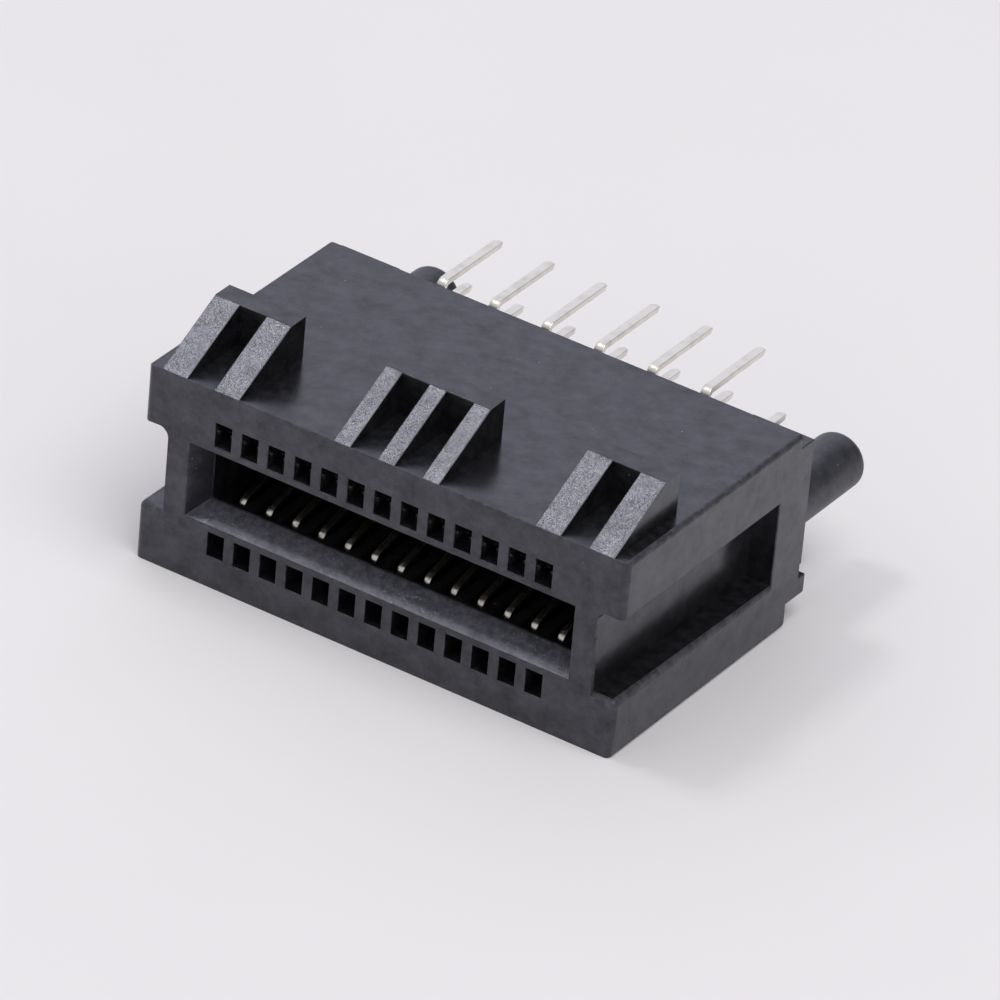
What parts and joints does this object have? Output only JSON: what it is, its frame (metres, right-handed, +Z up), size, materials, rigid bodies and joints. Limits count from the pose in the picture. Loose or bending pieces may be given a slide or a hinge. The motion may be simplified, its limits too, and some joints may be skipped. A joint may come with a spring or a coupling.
{
  "type": "card edge connector",
  "caption": "Black moulded card edge connector with a lead-in card slot, two rows of spring contacts, wedge ribs, end channels, locating pegs and staggered solder tails.",
  "frame": {"origin": "centre of the bounding box, on the flat underside that it lies on", "axes": "+X along the contact rows, +Y from the card mouth to the solder tails, +Z up, out of the ribbed long side"},
  "size_m": [0.0228, 0.0188, 0.0109],
  "materials": {
    "housing": "fine spark-eroded moulding texture",
    "contact": "bright tin plate on phosphor bronze strip"
  },
  "bodies": {
    "root": {"housing": "housing", "contact_lower_01": "contact", "contact_lower_02": "contact", "contact_lower_03": "contact", "contact_lower_04": "contact", "contact_lower_05": "contact", "contact_lower_06": "contact", "contact_lower_07": "contact", "contact_lower_08": "contact", "contact_lower_09": "contact", "contact_lower_10": "contact", "contact_lower_11": "contact", "contact_lower_12": "contact", "contact_lower_13": "contact", "contact_upper_01": "contact", "contact_upper_02": "contact", "contact_upper_03": "contact", "contact_upper_04": "contact", "contact_upper_05": "contact", "contact_upper_06": "contact", "contact_upper_07": "contact", "contact_upper_08": "contact", "contact_upper_09": "contact", "contact_upper_10": "contact", "contact_upper_11": "contact", "contact_upper_12": "contact", "contact_upper_13": "contact"}
  },
  "joints": []
}
